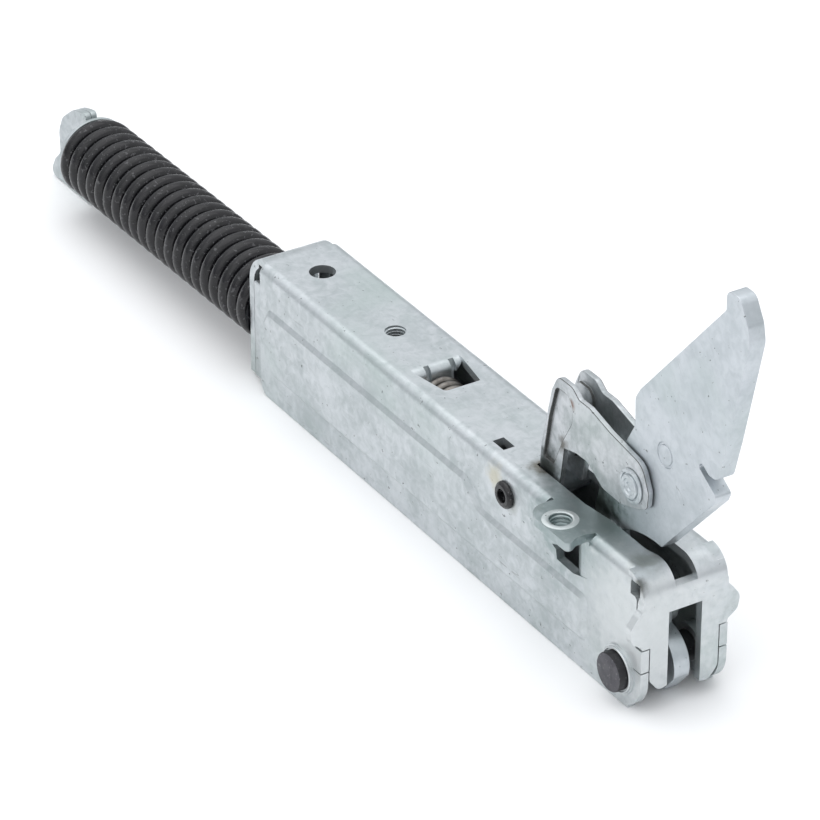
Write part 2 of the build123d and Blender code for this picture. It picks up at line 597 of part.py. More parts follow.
def coil(rear, height, turns, pitch, diameter, wire, runs, sides):
    """Helical spring along X in straight runs of a many-sided wire, its end turns ground flat from the given rear."""
    radius = (diameter - wire) / 2
    ground = 3 * runs // 4
    path = []
    for i in range(-ground, runs * turns + ground + 1):
        turn = 2 * math.pi * i / runs
        path.append((pitch * i / runs, radius * math.sin(turn), radius * math.cos(turn)))
    line = Polyline(*path)
    spring = sweep((line ^ 0) * RegularPolygon(wire / 2, sides), path=line, transition=Transition.RIGHT)
    spring = Pos(rear + wire / 2, 0, height) * spring
    return spring & block(rear, rear + pitch * turns + wire, -diameter, diameter, height - diameter, height + diameter)


def catch_outline():
    """Side outline of the catch, measured from its rivet."""
    points = [
        (5.6, -3.0), (6.0, 1.0), (3.4, 6.6), (-8.8, 8.5), (-16.5, 10.4), (-20.5, 10.4), (-23.0, 12.2), (-28.6, 12.2),
        (-30.8, 8.0), (-34.4, -7.0), (-35.0, -12.9), (-33.9, -15.3), (-27.4, -15.3), (-25.6, -4.2), (-21.0, -3.1),
        (-16.8, -3.0),
        (-11.0, -6.4), (-4.0, -6.6), (2.6, -4.6),
    ]
    radii = [2.0, 3.0, 4.5, 6.0, 2.0, 1.5, 2.5, 2.5, 4.0, 6.0, 0, 0.4, 0.6, 0.4, 0.4, 2.0, 4.0, 5.0, 2.0]
    return rounded(points, radii)


def catch_panel():
    """Outline of the panel pressed into each cheek of the catch."""
    points = [(-29.0, 9.4), (-23.4, 9.4), (-22.6, 4.0), (-26.6, -3.0), (-29.6, -10.0), (-33.4, -10.0), (-31.4, 1.0)]
    return rounded(points, [1.6, 2.6, 5.0, 3.0, 0.6, 0.6, 6.0])


def latch_bail():
    """U-shaped safety catch: two cheeks joined by a short web at the rear."""
    rivet_x, rivet_z = PIVOT_X + CATCH_RIVET_X, PIVOT_Z + CATCH_RIVET_Z
    cheek = Pos(rivet_x, rivet_z) * catch_outline()
    panel = Pos(rivet_x, rivet_z) * catch_panel()
    bail = side_plate(cheek, -CATCH_OUTER, -CATCH_INNER) + side_plate(cheek, CATCH_INNER, CATCH_OUTER)
    web = Pos(rivet_x, rivet_z) * Polygon(
        (-31.6, 3.0), (-34.3, -9.0), (-34.3 + CATCH_SHEET, -9.4), (-31.6 + CATCH_SHEET, 2.6), align=None)
    bail += side_plate(web, -CATCH_OUTER, CATCH_OUTER)
    bail -= side_plate(panel, -CATCH_OUTER, -CATCH_OUTER + CATCH_PRESS)
    bail -= side_plate(panel, CATCH_OUTER - CATCH_PRESS, CATCH_OUTER)
    bail += side_plate(panel, -CATCH_INNER, -CATCH_INNER + CATCH_PRESS)
    bail += side_plate(panel, CATCH_INNER - CATCH_PRESS, CATCH_INNER)
    return bail - across(rivet_x, rivet_z, CATCH_RIVET_RADIUS + RUNNING, -WIDTH, WIDTH)


def catch_rivet():
    """Rivet of the catch, with a turned step in each head."""
    rivet_x, rivet_z = PIVOT_X + CATCH_RIVET_X, PIVOT_Z + CATCH_RIVET_Z
    under = CATCH_OUTER + 0.1
    rivet = across(rivet_x, rivet_z, CATCH_RIVET_RADIUS, -under, under)
    for side in (-1, 1):
        for radius, rise in ((CATCH_HEAD_RADIUS, 0.45), (CATCH_HEAD_RADIUS - 1.2, CATCH_HEAD)):
            y0, y1 = sorted((side * under, side * (under + rise)))
            step = across(rivet_x, rivet_z, radius, y0, y1)
            outside = step.edges().group_by(Axis.Y)[0 if side < 0 else -1]
            rivet += chamfer(outside, 0.25)
    return rivet


def outer_spring():
    return tilted(coil(OUTER_REAR, ROD_Z, OUTER_TURNS, OUTER_PITCH, OUTER_DIA, OUTER_WIRE, 12, 8))


def inner_spring():
    pitch = (INNER_LENGTH - INNER_WIRE) / INNER_TURNS
    return coil(INNER_REAR, INNER_Z, INNER_TURNS, pitch, INNER_DIA, INNER_WIRE, 10, 6)


def main():
    os.makedirs("parts", exist_ok=True)
    pieces = {
        "housing": housing(),
        "main_pin": main_pin(),
        "cross_pin": cross_pin(),
        "guide_roller": guide_roller(),
        "lever_arm": lever_arm(),
        "link_pin": link_pin(),
        "latch_bail": latch_bail(),
        "latch_rivet": catch_rivet(),
        "tie_strap_near": tie_strap(-1),
        "tie_strap_far": tie_strap(1),
        "strap_rivets": Compound(children=strap_rivets()),
        "spring_cup": spring_cup(),
        "spring_stop": spring_stop(),
        "outer_spring": outer_spring(),
        "inner_spring": inner_spring(),
    }
    for name, piece in pieces.items():
        export_step(piece, "parts/" + name + ".step")


main()
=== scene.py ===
# Oven door hinge: a folded housing of zinc plated sheet, a hooked lever on a
# riveted pin, tie straps to a black compression spring, and a safety catch.
# Metres, in the CAD model's frame: +X runs to the front end with the lever,
# +Z points out of the web, and -Y is the side with the threaded ear.
import math

import bpy
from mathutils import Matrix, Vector
from mathutils.bvhtree import BVHTree
from mathutils.geometry import intersect_point_line


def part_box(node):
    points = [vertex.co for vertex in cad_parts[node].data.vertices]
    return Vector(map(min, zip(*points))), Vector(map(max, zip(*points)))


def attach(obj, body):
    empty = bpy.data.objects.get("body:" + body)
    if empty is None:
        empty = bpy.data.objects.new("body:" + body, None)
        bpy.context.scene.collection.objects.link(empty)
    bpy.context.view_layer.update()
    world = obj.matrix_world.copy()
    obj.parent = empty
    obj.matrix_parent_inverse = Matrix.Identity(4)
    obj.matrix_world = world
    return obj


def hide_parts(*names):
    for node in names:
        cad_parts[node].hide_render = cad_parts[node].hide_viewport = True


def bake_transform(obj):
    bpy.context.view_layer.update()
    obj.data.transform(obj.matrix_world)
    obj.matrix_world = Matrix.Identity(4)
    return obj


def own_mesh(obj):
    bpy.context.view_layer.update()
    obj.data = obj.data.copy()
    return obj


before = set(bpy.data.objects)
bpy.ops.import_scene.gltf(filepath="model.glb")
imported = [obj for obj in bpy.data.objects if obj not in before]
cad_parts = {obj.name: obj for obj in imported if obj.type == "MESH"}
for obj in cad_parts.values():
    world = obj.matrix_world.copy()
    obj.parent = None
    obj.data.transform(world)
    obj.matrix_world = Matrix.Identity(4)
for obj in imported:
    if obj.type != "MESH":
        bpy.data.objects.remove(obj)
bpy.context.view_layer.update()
bpy.ops.object.select_all(action="DESELECT")

# ---------------------------------------------------------------- housing
# One strip of 2 mm steel, stamped, folded to a channel with an end plate and
# a front plate, and then plated with zinc. The plating is a cloudy blue grey,
# with streaks along the rolling direction, fine scratches and dark specks.
MM = 0.001
ZINC_LIGHT = (0.595, 0.625, 0.645, 1)
ZINC_DEEP = (0.440, 0.480, 0.490, 1)
ZINC_GREEN = (0.430, 0.510, 0.490, 1)
# Painted shade: a dark and a greenish tint, laid where the lever's face and the catch's lower cheek lie in
# shade near the slot
PAINTED_SHADE_DARK = (0.030, 0.038, 0.034, 1)
PAINTED_SHADE_GREEN = (0.12, 0.17, 0.16, 1)
SPECK_DARK = (0.10, 0.11, 0.11, 1)
SMALL_PATCH_SHARE = 0.46
GREEN_SHARE = 0.55
STREAK_SHARE = 0.28
SCRATCH_SHARE = 0.40
SPECK_SHARE = 0.7
DULLER = 0.12
SHEET_RELIEF = 0.00006


def node(tree, kind, inputs=None, **settings):
    """A new shader node with its settings. Each input is given a value or a socket to link from."""
    made = tree.nodes.new(kind)
    for name, value in settings.items():
        setattr(made, name, value)
    for name, value in (inputs or {}).items():
        if isinstance(value, bpy.types.NodeSocket):
            tree.links.new(value, made.inputs[name])
        else:
            made.inputs[name].default_value = value
    return made


def effect_group(name, inputs, outputs):
    """An empty shader group with named inputs and outputs, and its two end nodes."""
    tree = bpy.data.node_groups.new(name, "ShaderNodeTree")
    for label, kind, value in inputs:
        socket = tree.interface.new_socket(label, in_out="INPUT", socket_type=kind)
        if value is not None:
            socket.default_value = value
    for label, kind in outputs:
        tree.interface.new_socket(label, in_out="OUTPUT", socket_type=kind)
    return tree, tree.nodes.new("NodeGroupInput").outputs, tree.nodes.new("NodeGroupOutput").inputs


def band(tree, value, low, high):
    """Map a value smoothly from 0 at low to 1 at high."""
    ramp = node(tree, "ShaderNodeMapRange", {"Value": value, "From Min": low, "From Max": high},
                interpolation_type="SMOOTHSTEP")
    return ramp.outputs["Result"]


def times(tree, first, second):
    """Product of two values."""
    return node(tree, "ShaderNodeMath", {0: first, 1: second}, operation="MULTIPLY").outputs[0]


# Cloudy plating: broad patches of tone with smaller ones inside them
patches, given, result = effect_group(
    "plating_patches",
    [("Vector", "NodeSocketVector", None), ("Patch Size", "NodeSocketFloat", 60.0)],
    [("Tone", "NodeSocketFloat"), ("Green", "NodeSocketFloat")])
broad = node(patches, "ShaderNodeTexNoise",
             {"Vector": given["Vector"], "Scale": given["Patch Size"], "Detail": 5.0, "Roughness": 0.62})
small = node(patches, "ShaderNodeTexNoise",
             {"Vector": given["Vector"], "Scale": 420.0, "Detail": 4.0, "Roughness": 0.6, "Distortion": 0.6})
blended = node(patches, "ShaderNodeMix",
               {"Factor": SMALL_PATCH_SHARE, "A": broad.outputs["Fac"], "B": small.outputs["Fac"]},
               data_type="FLOAT")
patches.links.new(band(patches, blended.outputs["Result"], 0.36, 0.64), result["Tone"])
wash = node(patches, "ShaderNodeTexNoise",
            {"Vector": given["Vector"], "Scale": 38.0, "Detail": 2.0, "W": 3.0}, noise_dimensions="4D")
patches.links.new(band(patches, wash.outputs["Fac"], 0.46, 0.70), result["Green"])

# Streaks and hair scratches, drawn out along the piece
marks, given, result = effect_group(
    "rolling_marks",
    [("Vector", "NodeSocketVector", None), ("Stretch", "NodeSocketVector", (40.0, 900.0, 900.0)),
     ("Turn", "NodeSocketVector", (0.0, 0.0, 0.0))],
    [("Streaks", "NodeSocketFloat"), ("Scratches", "NodeSocketFloat")])
turned_place = node(marks, "ShaderNodeVectorRotate",
                    {"Vector": given["Vector"], "Rotation": given["Turn"]}, rotation_type="EULER_XYZ")
drawn = node(marks, "ShaderNodeVectorMath", {0: turned_place.outputs["Vector"], 1: given["Stretch"]},
             operation="MULTIPLY")
streak = node(marks, "ShaderNodeTexNoise", {"Vector": drawn.outputs["Vector"], "Scale": 1.0, "Detail": 3.0})
marks.links.new(streak.outputs["Fac"], result["Streaks"])
hair = node(marks, "ShaderNodeTexNoise", {"Vector": drawn.outputs["Vector"], "Scale": 0.55, "Detail": 1.0})
offset = node(marks, "ShaderNodeMath", {0: hair.outputs["Fac"], 1: 0.5}, operation="SUBTRACT")
away = node(marks, "ShaderNodeMath", {0: offset.outputs[0]}, operation="ABSOLUTE")
line = band(marks, away.outputs[0], 0.005, 0.001)
place_noise = node(marks, "ShaderNodeTexNoise", {"Vector": given["Vector"], "Scale": 190.0, "Detail": 1.0})
marks.links.new(times(marks, line, band(marks, place_noise.outputs["Fac"], 0.60, 0.70)), result["Scratches"])

# Dark specks and small pits
specks, given, result = effect_group(
    "dark_specks",
    [("Vector", "NodeSocketVector", None), ("Speck Size", "NodeSocketFloat", 700.0),
     ("Threshold", "NodeSocketFloat", 0.70)],
    [("Mask", "NodeSocketFloat")])
grain = node(specks, "ShaderNodeTexNoise",
             {"Vector": given["Vector"], "Scale": given["Speck Size"], "Detail": 2.0, "Roughness": 0.7})
above = node(specks, "ShaderNodeMath", {0: grain.outputs["Fac"], 1: given["Threshold"]}, operation="SUBTRACT")
specks.links.new(band(specks, above.outputs[0], 0.0, 0.03), result["Mask"])

# A spot round one place, ragged at its rim, for real marks and for painted shade
ragged_spot, given, result = effect_group(
    "stain_and_shade_spot",
    [("Vector", "NodeSocketVector", None), ("Centre", "NodeSocketVector", (0.0, 0.0, 0.0)),
     ("Reach", "NodeSocketFloat", 0.004)],
    [("Mask", "NodeSocketFloat")])
ragged = node(ragged_spot, "ShaderNodeTexNoise", {"Vector": given["Vector"], "Scale": 500.0, "Detail": 3.0})
distance = node(ragged_spot, "ShaderNodeVectorMath", {0: given["Vector"], 1: given["Centre"]}, operation="DISTANCE")
share = node(ragged_spot, "ShaderNodeMath", {0: distance.outputs["Value"], 1: given["Reach"]}, operation="DIVIDE")
rough_share = node(ragged_spot, "ShaderNodeMath", {0: share.outputs[0], 1: ragged.outputs["Fac"]}, operation="ADD")
ragged_spot.links.new(band(ragged_spot, rough_share.outputs[0], 1.5, 0.7), result["Mask"])


def plated(name, light, deep, green, patch_size, stretch, turn, metal, gloss, stains_and_shade=()):
    """Zinc plated steel, with its own tones, streak direction, real marks and spots of painted shade."""
    material = bpy.data.materials.new(name)
    material.use_nodes = True
    tree = material.node_tree
    surface = tree.nodes["Principled BSDF"]
    place = node(tree, "ShaderNodeTexCoord").outputs["Object"]
    cloud = node(tree, "ShaderNodeGroup", {}, node_tree=patches)
    tree.links.new(place, cloud.inputs["Vector"])
    cloud.inputs["Patch Size"].default_value = patch_size
    drawn_out = node(tree, "ShaderNodeGroup", {}, node_tree=marks)
    tree.links.new(place, drawn_out.inputs["Vector"])
    drawn_out.inputs["Stretch"].default_value = stretch
    drawn_out.inputs["Turn"].default_value = turn
    pits = node(tree, "ShaderNodeGroup", {}, node_tree=specks)
    tree.links.new(place, pits.inputs["Vector"])

    tone = node(tree, "ShaderNodeMix", {"Factor": cloud.outputs["Tone"], "A": deep, "B": light},
                data_type="RGBA")
    tinted = node(tree, "ShaderNodeMix",
                  {"Factor": times(tree, cloud.outputs["Green"], GREEN_SHARE), "A": tone.outputs[2],
                   "B": green}, data_type="RGBA")
    streaks = band(tree, drawn_out.outputs["Streaks"], 0.42, 0.72)
    streaked = node(tree, "ShaderNodeMix",
                    {"Factor": times(tree, streaks, STREAK_SHARE), "A": tinted.outputs[2], "B": light},
                    data_type="RGBA")
    scratched = node(tree, "ShaderNodeMix",
                     {"Factor": times(tree, drawn_out.outputs["Scratches"], SCRATCH_SHARE),
                      "A": streaked.outputs[2], "B": SPECK_DARK}, data_type="RGBA")
    colour = node(tree, "ShaderNodeMix",
                  {"Factor": times(tree, pits.outputs["Mask"], SPECK_SHARE), "A": scratched.outputs[2],
                   "B": SPECK_DARK}, data_type="RGBA").outputs[2]
    # Each spot mixes its tint in: some are real marks, some are painted shade
    for centre, reach, tint, strength in stains_and_shade:
        spot = node(tree, "ShaderNodeGroup", {}, node_tree=ragged_spot)
        tree.links.new(place, spot.inputs["Vector"])
        spot.inputs["Centre"].default_value = centre
        spot.inputs["Reach"].default_value = reach
        colour = node(tree, "ShaderNodeMix",
                      {"Factor": times(tree, spot.outputs["Mask"], strength), "A": colour, "B": tint},
                      data_type="RGBA").outputs[2]
    tree.links.new(colour, surface.inputs["Base Color"])
    surface.inputs["Metallic"].default_value = metal
    rough = node(tree, "ShaderNodeMapRange",
                 {"Value": cloud.outputs["Tone"], "To Min": gloss + DULLER, "To Max": gloss})
    tree.links.new(rough.outputs["Result"], surface.inputs["Roughness"])
    relief = node(tree, "ShaderNodeMath", {0: drawn_out.outputs["Streaks"], 1: cloud.outputs["Tone"]},
                  operation="ADD")
    pitted = node(tree, "ShaderNodeMath", {0: relief.outputs[0], 1: pits.outputs["Mask"]},
                  operation="SUBTRACT")
    bump = node(tree, "ShaderNodeBump",
                {"Height": pitted.outputs[0], "Strength": 0.35, "Distance": SHEET_RELIEF})
    tree.links.new(bump.outputs["Normal"], surface.inputs["Normal"])
    return material


FOLDED_BACK = -0.9
SAME_PLACE = 0.000002
FLAT_WITHIN = math.radians(0.6)
EDGE_FROM = math.radians(42)
SMOOTH_BELOW = math.radians(48)
FARTHEST_ROUNDING = 0.45
FOLD_REACH = 0.8


def unfold(piece, reach):
    """Merge the small faces that rounding has folded back over their neighbours."""
    piece.data.update()
    beside = {}
    for face in piece.data.polygons:
        for key in face.edge_keys:
            beside.setdefault(key, []).append(face)
    folded = set()
    for pair in beside.values():
        if len(pair) == 2 and pair[0].normal.dot(pair[1].normal) < FOLDED_BACK:
            folded.update(min(pair, key=lambda face: face.area).vertices)
    bpy.ops.object.mode_set(mode="EDIT")
    bpy.ops.mesh.select_mode(type="VERT")
    bpy.ops.mesh.select_all(action="DESELECT")
    bpy.ops.object.mode_set(mode="OBJECT")
    for corner in folded:
        piece.data.vertices[corner].select = True
    bpy.ops.object.mode_set(mode="EDIT")
    bpy.ops.mesh.remove_doubles(threshold=reach)
    bpy.ops.object.mode_set(mode="OBJECT")


def finished_copy(source, name, edge):
    """A copy of a CAD node's mesh with its triangles merged to plain faces and its edges rounded."""
    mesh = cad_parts[source].data.copy()
    mesh.materials.clear()
    piece = bpy.data.objects.new(name, mesh)
    bpy.context.scene.collection.objects.link(piece)
    bpy.context.view_layer.objects.active = piece
    piece.select_set(True)
    bpy.ops.mesh.customdata_custom_splitnormals_clear()
    bpy.ops.object.mode_set(mode="EDIT")
    bpy.ops.mesh.select_all(action="SELECT")
    bpy.ops.mesh.remove_doubles(threshold=SAME_PLACE)
    bpy.ops.mesh.mark_sharp(clear=True)
    bpy.ops.mesh.dissolve_limited(angle_limit=FLAT_WITHIN, use_dissolve_boundaries=False)
    bpy.ops.object.mode_set(mode="OBJECT")
    corners = [corner.co.copy() for corner in mesh.vertices]
    unrounded = BVHTree.FromPolygons(corners, [list(face.vertices) for face in mesh.polygons])
    rounding = piece.modifiers.new("rounding", "BEVEL")
    rounding.width = edge
    rounding.segments = 2
    rounding.limit_method = "ANGLE"
    rounding.angle_limit = EDGE_FROM
    rounding.use_clamp_overlap = False
    bpy.ops.object.modifier_apply(modifier="rounding")
    for corner in piece.data.vertices:
        nearest, _, _, gap = unrounded.find_nearest(corner.co)
        if gap > FARTHEST_ROUNDING * edge:
            corner.co = nearest
    unfold(piece, FOLD_REACH * edge)
    bpy.ops.object.shade_smooth_by_angle(angle=SMOOTH_BELOW)
    flat = piece.modifiers.new("flat_faces", "WEIGHTED_NORMAL")
    flat.keep_sharp = True
    bpy.ops.object.modifier_apply(modifier="flat_faces")
    for face in piece.data.polygons:
        face.select = abs(face.normal.y) > 0.99999
    bpy.ops.object.mode_set(mode="EDIT")
    bpy.ops.mesh.select_mode(type="FACE")
    bpy.ops.mesh.set_normals_from_faces(keep_sharp=True)
    bpy.ops.mesh.select_mode(type="VERT")
    bpy.ops.object.mode_set(mode="OBJECT")
    piece.select_set(False)
    return piece


# Stains of the sheet: centre, reach, tint and strength
HOUSING_STAINS = [
    ((0.0900, -0.0070, 0.0), 0.0250, (0.28, 0.345, 0.345, 1), 0.9),
    ((0.1130, -0.0100, -0.0150), 0.0280, (0.66, 0.685, 0.69, 1), 0.8),
    ((0.0668, -0.0034, 0.0), 0.0046, (0.10, 0.085, 0.055, 1), 0.85),
    ((0.0590, -0.0110, -0.0040), 0.0042, (0.52, 0.48, 0.34, 1), 0.6),
    ((0.0660, -0.0120, -0.0080), 0.0030, (0.36, 0.38, 0.36, 1), 0.6),
    ((0.1146, -0.0110, -0.0018), 0.0032, (0.07, 0.075, 0.065, 1), 0.8),
    ((0.1092, -0.0058, 0.0), 0.0046, (0.16, 0.18, 0.15, 1), 0.55),
    ((0.0950, -0.0050, 0.0), 0.0040, (0.24, 0.30, 0.29, 1), 0.5),
    ((0.0790, -0.0140, 0.0), 0.0030, (0.22, 0.26, 0.25, 1), 0.6),
    ((0.0143, -0.0110, -0.0140), 0.0009, SPECK_DARK, 0.9),
]
housing_zinc = plated(
    "zinc_plated_sheet", ZINC_LIGHT, ZINC_DEEP, ZINC_GREEN, 70.0, (30.0, 700.0, 700.0), (0, 0, 0), 0.86, 0.36,
    stains_and_shade=HOUSING_STAINS)
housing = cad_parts["housing"]
housing.material_slots[0].material = housing_zinc

# ---------------------------------------------------------------- threads
# The web and its ear are drawn down and tapped M5. The turns of the thread
# show as bright ridges inside both bores.
THREAD_PITCH = 0.8 * MM
THREAD_TURNS = 4
THREAD_RIDGE = 0.34 * MM
THREAD_BORE = 2.5 * MM
THREAD_FOOT = -3.7 * MM
THREADS = {"web_thread_turns": (0.0, 0.0), "ear_thread_turns": (0.0864, -0.0121)}


def coiled(name, centre, axis, start, wire, turns, pitch, steps, sides):
    """A round wire wound about an axis through centre, with its first turn at start from there."""
    bpy.ops.mesh.primitive_circle_add(vertices=sides, radius=wire, fill_type="NGON", location=centre)
    coil = bpy.context.object
    coil.name = name
    bpy.ops.object.mode_set(mode="EDIT")
    bpy.ops.mesh.select_all(action="SELECT")
    first_axis = "Y" if axis == "X" else "X"
    bpy.ops.transform.rotate(value=math.pi / 2, orient_axis=first_axis, center_override=centre)
    if axis == "X":
        bpy.ops.transform.rotate(value=math.pi / 2, orient_axis="Z", center_override=centre)
    bpy.ops.transform.translate(value=start)
    bpy.ops.object.mode_set(mode="OBJECT")
    winding = coil.modifiers.new("winding", "SCREW")
    winding.axis = axis
    winding.angle = -2 * math.pi
    winding.screw_offset = pitch
    winding.iterations = turns
    winding.steps = steps
    winding.render_steps = steps
    winding.use_merge_vertices = True
    bpy.ops.object.modifier_apply(modifier="winding")
    bpy.ops.object.transform_apply(location=True, rotation=True, scale=True)
    return coil


for name, (x, y) in THREADS.items():
    turns = coiled(name, (x, y, THREAD_FOOT), "Z", (THREAD_BORE + 0.05 * MM, 0, 0), THREAD_RIDGE,
                   THREAD_TURNS, THREAD_PITCH, 32, 6)
    bpy.ops.object.mode_set(mode="EDIT")
    bpy.ops.mesh.select_all(action="SELECT")
    bpy.ops.mesh.normals_make_consistent(inside=False)
    bpy.ops.object.mode_set(mode="OBJECT")
    bpy.ops.object.shade_smooth_by_angle(angle=math.radians(50))
    turns.data.materials.append(housing_zinc)
    turns.select_set(False)
    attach(turns, "housing")

# ---------------------------------------------------------------- rear corners
# Narrow flanges of the walls, set in by a sheet's thickness, reach back almost
# to the rear plate and close both corners below the bend relief.
FLANGE_FROM = -47.8 * MM
FLANGE_TO = -42.4 * MM
FLANGE_TOP = -7.0 * MM
FLANGE_FOOT = -32.4 * MM
FLANGE_OUTSIDE = 9.5 * MM
FLANGE_SHEET = 1.4 * MM
FLANGE_EDGE = 0.3 * MM
for name, side in (("corner_flange_near", -1), ("corner_flange_far", 1)):
    middle = ((FLANGE_FROM + FLANGE_TO) / 2, side * (FLANGE_OUTSIDE - FLANGE_SHEET / 2),
              (FLANGE_TOP + FLANGE_FOOT) / 2)
    bpy.ops.mesh.primitive_cube_add(size=1, location=middle)
    flange = bpy.context.object
    flange.name = name
    flange.scale = (FLANGE_TO - FLANGE_FROM, FLANGE_SHEET, FLANGE_TOP - FLANGE_FOOT)
    bpy.ops.object.transform_apply(location=True, rotation=True, scale=True)
    edging = flange.modifiers.new("edging", "BEVEL")
    edging.width = FLANGE_EDGE
    edging.segments = 2
    bpy.ops.object.modifier_apply(modifier="edging")
    bpy.ops.object.shade_smooth_by_angle(angle=math.radians(50))
    flange.data.materials.append(housing_zinc)
    flange.select_set(False)
    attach(flange, "housing")

# ---------------------------------------------------------------- main pin
# Turned pin of dark phosphated steel. Its flat head stands on the near side,
# and its far end is riveted over the far wall.
PIN_DARK = (0.066, 0.064, 0.074, 1)
PIN_WORN = (0.12, 0.118, 0.128, 1)
# Painted shade: a darker copy of the pin's finish for its sides
PIN_SIDE_SHADE_DARK = (0.012, 0.012, 0.014, 1)
PIN_SIDE_SHADE_WORN = (0.03, 0.03, 0.034, 1)
FLECK_PALE = (0.22, 0.22, 0.23, 1)
PIN_X = 0.1081
PIN_Z = -0.0260
PIN_HEAD_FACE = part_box("main_pin")[0][1]
PIN_HEAD_SEAT = PIN_HEAD_FACE + 2.3 * MM
PIN_TAIL_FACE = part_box("main_pin")[1][1]
PIN_TAIL_SEAT = PIN_TAIL_FACE - 1.6 * MM
PIN_HEAD_RADIUS = 4.50 * MM
PIN_SHANK_RADIUS = 3.5 * MM
PIN_TAIL_RADIUS = 4.7 * MM
TURNED_SIDES = 72


def turned(name, centre, axis, outline, ring=False):
    """A lathe-turned piece. Its outline is radius and height along the axis, from low to high."""
    end = "NOTHING" if ring else "NGON"
    bpy.ops.mesh.primitive_circle_add(vertices=TURNED_SIDES, radius=outline[0][0], fill_type=end)
    piece = bpy.context.object
    piece.name = name
    bpy.ops.object.mode_set(mode="EDIT")
    bpy.ops.mesh.select_all(action="SELECT")
    bpy.ops.transform.translate(value=(0, 0, outline[0][1]))
    for (radius, height), (next_radius, next_height) in zip(outline, outline[1:]):
        bpy.ops.mesh.extrude_region_move(TRANSFORM_OT_translate={"value": (0, 0, next_height - height)})
        growth = next_radius / radius
        bpy.ops.transform.resize(value=(growth, growth, 1), center_override=(0, 0, next_height))
    bpy.ops.mesh.select_all(action="SELECT")
    bpy.ops.mesh.remove_doubles(threshold=SAME_PLACE)
    if axis == "Y":
        bpy.ops.transform.rotate(value=math.pi / 2, orient_axis="X", center_override=(0, 0, 0))
    bpy.ops.mesh.normals_make_consistent(inside=False)
    bpy.ops.transform.translate(value=centre)
    bpy.ops.object.mode_set(mode="OBJECT")
    bpy.ops.object.shade_smooth_by_angle(angle=math.radians(28))
    piece.select_set(False)
    return piece


def dark_steel(name, dark, worn, grain_size, roughness, metal, fleck=0.5):
    """Dark treated steel, with paler worn places and flecks."""
    material = bpy.data.materials.new(name)
    material.use_nodes = True
    tree = material.node_tree
    surface = tree.nodes["Principled BSDF"]
    place = node(tree, "ShaderNodeTexCoord").outputs["Object"]
    cloud = node(tree, "ShaderNodeGroup", {}, node_tree=patches)
    tree.links.new(place, cloud.inputs["Vector"])
    cloud.inputs["Patch Size"].default_value = grain_size
    pits = node(tree, "ShaderNodeGroup", {}, node_tree=specks)
    tree.links.new(place, pits.inputs["Vector"])
    pits.inputs["Speck Size"].default_value = 1100.0
    pits.inputs["Threshold"].default_value = 0.62
    tone = node(tree, "ShaderNodeMix",
                {"Factor": times(tree, cloud.outputs["Tone"], 0.5), "A": dark, "B": worn}, data_type="RGBA")
    colour = node(tree, "ShaderNodeMix",
                  {"Factor": times(tree, pits.outputs["Mask"], fleck), "A": tone.outputs[2], "B": FLECK_PALE},
                  data_type="RGBA")
    tree.links.new(colour.outputs[2], surface.inputs["Base Color"])
    surface.inputs["Metallic"].default_value = metal
    rough = node(tree, "ShaderNodeMapRange",
                 {"Value": cloud.outputs["Tone"], "To Min": roughness + 0.08, "To Max": roughness - 0.04})
    tree.links.new(rough.outputs["Result"], surface.inputs["Roughness"])
    bump = node(tree, "ShaderNodeBump",
                {"Height": cloud.outputs["Tone"], "Strength": 0.3, "Distance": 0.00004})
    tree.links.new(bump.outputs["Normal"], surface.inputs["Normal"])
    return material


pin_finish = dark_steel("phosphated_pin", PIN_DARK, PIN_WORN, 300.0, 0.46, 0.5)
pin_side_painted_shade = dark_steel("phosphated_pin_painted_shade", PIN_SIDE_SHADE_DARK, PIN_SIDE_SHADE_WORN, 300.0, 0.5, 0.1, 0.2)
main_pin = turned(
    "main_pin_turned", (PIN_X, 0, PIN_Z), "Y",
    [(4.22 * MM, PIN_HEAD_FACE), (4.32 * MM, PIN_HEAD_FACE + 0.03 * MM),
     (4.44 * MM, PIN_HEAD_FACE + 0.15 * MM), (PIN_HEAD_RADIUS, PIN_HEAD_FACE + 0.4 * MM),
     (PIN_HEAD_RADIUS, PIN_HEAD_SEAT), (PIN_SHANK_RADIUS, PIN_HEAD_SEAT),
     (PIN_SHANK_RADIUS, PIN_TAIL_SEAT), (PIN_TAIL_RADIUS, PIN_TAIL_SEAT),
     (PIN_TAIL_RADIUS, PIN_TAIL_FACE - 0.5 * MM), (4.3 * MM, PIN_TAIL_FACE - 0.1 * MM),
     (3.7 * MM, PIN_TAIL_FACE), (1.1 * MM, PIN_TAIL_FACE), (0.8 * MM, PIN_TAIL_FACE - 0.35 * MM)])
main_pin.data.materials.append(pin_finish)
main_pin.data.materials.append(pin_side_painted_shade)
# Painted shade: the rim of the head and the other sides take the darker copy
for face in main_pin.data.polygons:
    if abs(face.normal.y) < 0.9:
        face.material_index = 1
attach(main_pin, "housing")
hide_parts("main_pin")

# The wall's hole is drawn out to a pale collar round the pin's head
COLLAR_BORE = 4.85 * MM
COLLAR_RADIUS = 5.3 * MM
COLLAR_TOP = PIN_HEAD_SEAT - 0.5 * MM
pin_collar = turned(
    "pin_collar", (PIN_X, 0, PIN_Z), "Y",
    [(COLLAR_BORE, PIN_HEAD_SEAT), (COLLAR_BORE, PIN_HEAD_SEAT - 0.35 * MM), (4.95 * MM, COLLAR_TOP),
     (5.15 * MM, COLLAR_TOP), (COLLAR_RADIUS, PIN_HEAD_SEAT - 0.3 * MM), (COLLAR_RADIUS, PIN_HEAD_SEAT),
     (COLLAR_BORE, PIN_HEAD_SEAT)], ring=True)
pin_collar.data.materials.append(housing_zinc)
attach(pin_collar, "housing")
